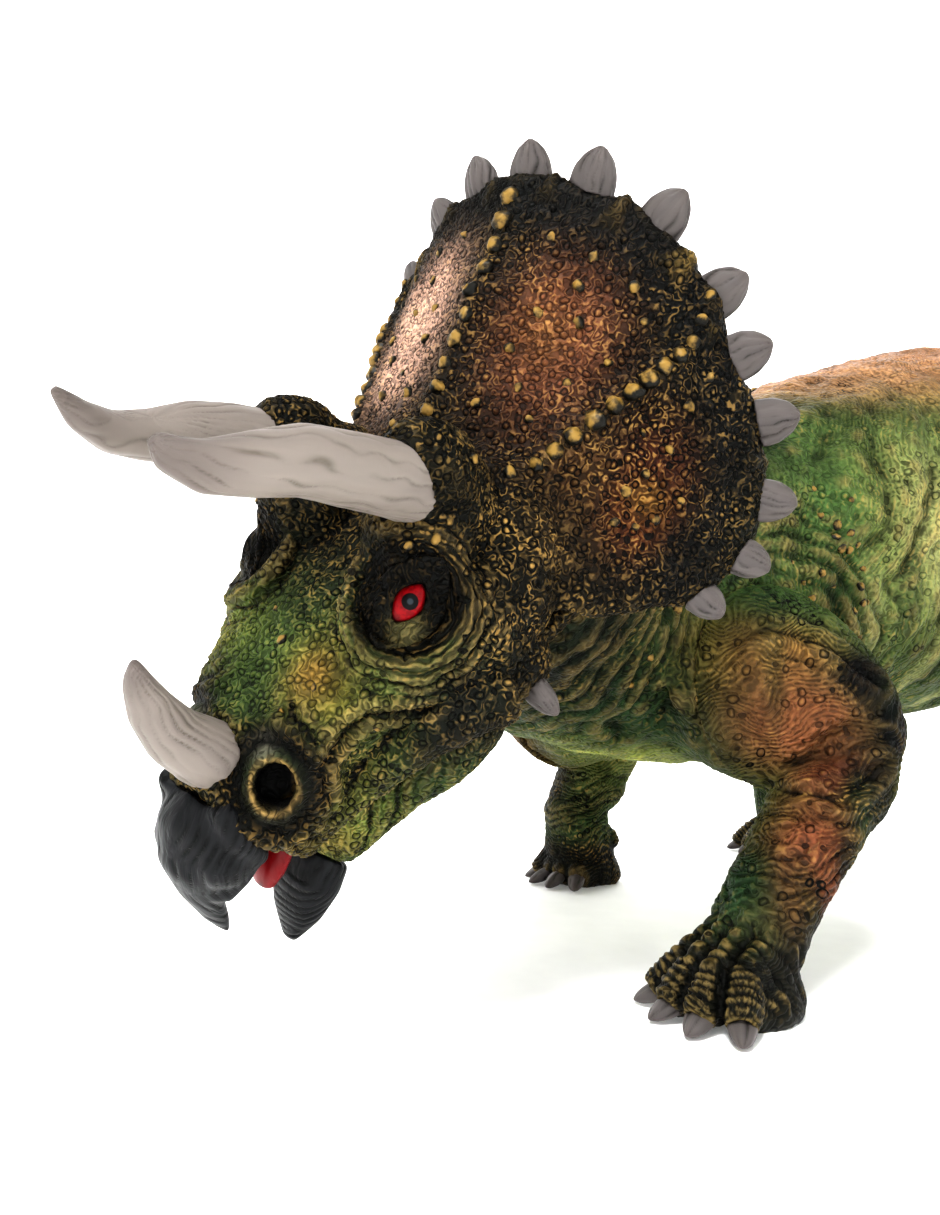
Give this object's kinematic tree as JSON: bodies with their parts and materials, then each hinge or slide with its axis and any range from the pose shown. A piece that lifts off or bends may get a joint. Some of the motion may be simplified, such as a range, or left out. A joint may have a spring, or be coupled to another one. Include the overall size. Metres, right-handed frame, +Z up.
{
  "type": "toy dinosaur figure",
  "caption": "Standing three-horned dinosaur figure in soft vinyl with a spiked neck frill, turning head, legs and tail, and a hinged lower jaw.",
  "frame": {"origin": "on the ground, under the centre of the figure's bounding box", "axes": "+X towards the head, +Y to the figure's left, +Z up"},
  "size_m": [0.5896, 0.2106, 0.246],
  "materials": {
    "trunk_vinyl": "painted soft vinyl, satin",
    "tail_vinyl": "painted soft vinyl, satin",
    "head_vinyl": "painted soft vinyl, satin",
    "jaw_vinyl": "painted soft vinyl, satin",
    "foreleg_vinyl": "painted soft vinyl, satin",
    "hindleg_vinyl": "painted soft vinyl, satin",
    "horn_vinyl": "washed vinyl, satin",
    "spike_vinyl": "washed vinyl, satin",
    "claw_vinyl": "washed vinyl, satin",
    "beak_vinyl": "painted vinyl, satin",
    "tongue_vinyl": "gloss paint",
    "eye_acrylic": "gloss",
    "pin_steel": "drawn wire"
  },
  "bodies": {
    "trunk": {"body_shell": "trunk_vinyl"},
    "tail": {"tail_shell": "tail_vinyl"},
    "left_foreleg": {"left_foreleg_shell": "foreleg_vinyl", "left_foreleg_claw_1": "claw_vinyl", "left_foreleg_claw_2": "claw_vinyl", "left_foreleg_claw_3": "claw_vinyl", "left_foreleg_claw_4": "claw_vinyl"},
    "right_foreleg": {"right_foreleg_shell": "foreleg_vinyl", "right_foreleg_claw_1": "claw_vinyl", "right_foreleg_claw_2": "claw_vinyl", "right_foreleg_claw_3": "claw_vinyl", "right_foreleg_claw_4": "claw_vinyl"},
    "left_hindleg": {"left_hindleg_shell": "hindleg_vinyl", "left_hindleg_claw_1": "claw_vinyl", "left_hindleg_claw_2": "claw_vinyl", "left_hindleg_claw_3": "claw_vinyl", "left_hindleg_claw_4": "claw_vinyl"},
    "right_hindleg": {"right_hindleg_shell": "hindleg_vinyl", "right_hindleg_claw_1": "claw_vinyl", "right_hindleg_claw_2": "claw_vinyl", "right_hindleg_claw_3": "claw_vinyl", "right_hindleg_claw_4": "claw_vinyl"},
    "jaw": {"lower_jaw": "jaw_vinyl", "lower_beak": "beak_vinyl", "tongue": "tongue_vinyl"},
    "head": {"head_shell": "head_vinyl", "upper_beak": "beak_vinyl", "jaw_pin": "pin_steel", "left_eye": "eye_acrylic", "right_eye": "eye_acrylic", "left_brow_horn": "horn_vinyl", "right_brow_horn": "horn_vinyl", "nose_horn": "horn_vinyl", "left_cheek_spike": "spike_vinyl", "right_cheek_spike": "spike_vinyl", "frill_spike_01": "spike_vinyl", "frill_spike_02": "spike_vinyl", "frill_spike_03": "spike_vinyl", "frill_spike_04": "spike_vinyl", "frill_spike_05": "spike_vinyl", "frill_spike_06": "spike_vinyl", "frill_spike_07": "spike_vinyl", "frill_spike_08": "spike_vinyl", "frill_spike_09": "spike_vinyl", "frill_spike_10": "spike_vinyl", "frill_spike_11": "spike_vinyl", "frill_spike_12": "spike_vinyl", "frill_spike_13": "spike_vinyl", "frill_spike_14": "spike_vinyl", "frill_spike_15": "spike_vinyl", "frill_spike_16": "spike_vinyl", "frill_spike_17": "spike_vinyl"}
  },
  "joints": [
    {"name": "neck_swivel", "type": "hinge", "parent": "trunk", "child": "head", "pos_m": [0.1993, 0.04459, 0.1199], "axis": [0.8571, 0.4929, 0.1495], "range_deg": [-25, 25]},
    {"name": "jaw_hinge", "type": "hinge", "parent": "head", "child": "jaw", "pos_m": [0.22285, 0.04211, 0.08336], "axis": [-0.4261, 0.8417, -0.3317], "range_deg": [0, 12]},
    {"name": "left_shoulder_swivel", "type": "hinge", "parent": "trunk", "child": "left_foreleg", "pos_m": [0.09989, 0.04549, 0.08], "axis": [0, 1, 0], "range_deg": [-20, 20]},
    {"name": "right_shoulder_swivel", "type": "hinge", "parent": "trunk", "child": "right_foreleg", "pos_m": [0.09989, -0.05451, 0.08], "axis": [0, 1, 0], "range_deg": [-20, 8]},
    {"name": "left_hip_swivel", "type": "hinge", "parent": "trunk", "child": "left_hindleg", "pos_m": [-0.1001, 0.05349, 0.132], "axis": [0, 1, 0], "range_deg": [-20, 20]},
    {"name": "right_hip_swivel", "type": "hinge", "parent": "trunk", "child": "right_hindleg", "pos_m": [-0.1001, -0.06251, 0.132], "axis": [0, 1, 0], "range_deg": [-20, 20]},
    {"name": "tail_swivel", "type": "hinge", "parent": "trunk", "child": "tail", "pos_m": [-0.1722, -0.00451, 0.17294], "axis": [-0.9563, 0, -0.2924], "range_deg": [-40, 40]}
  ]
}
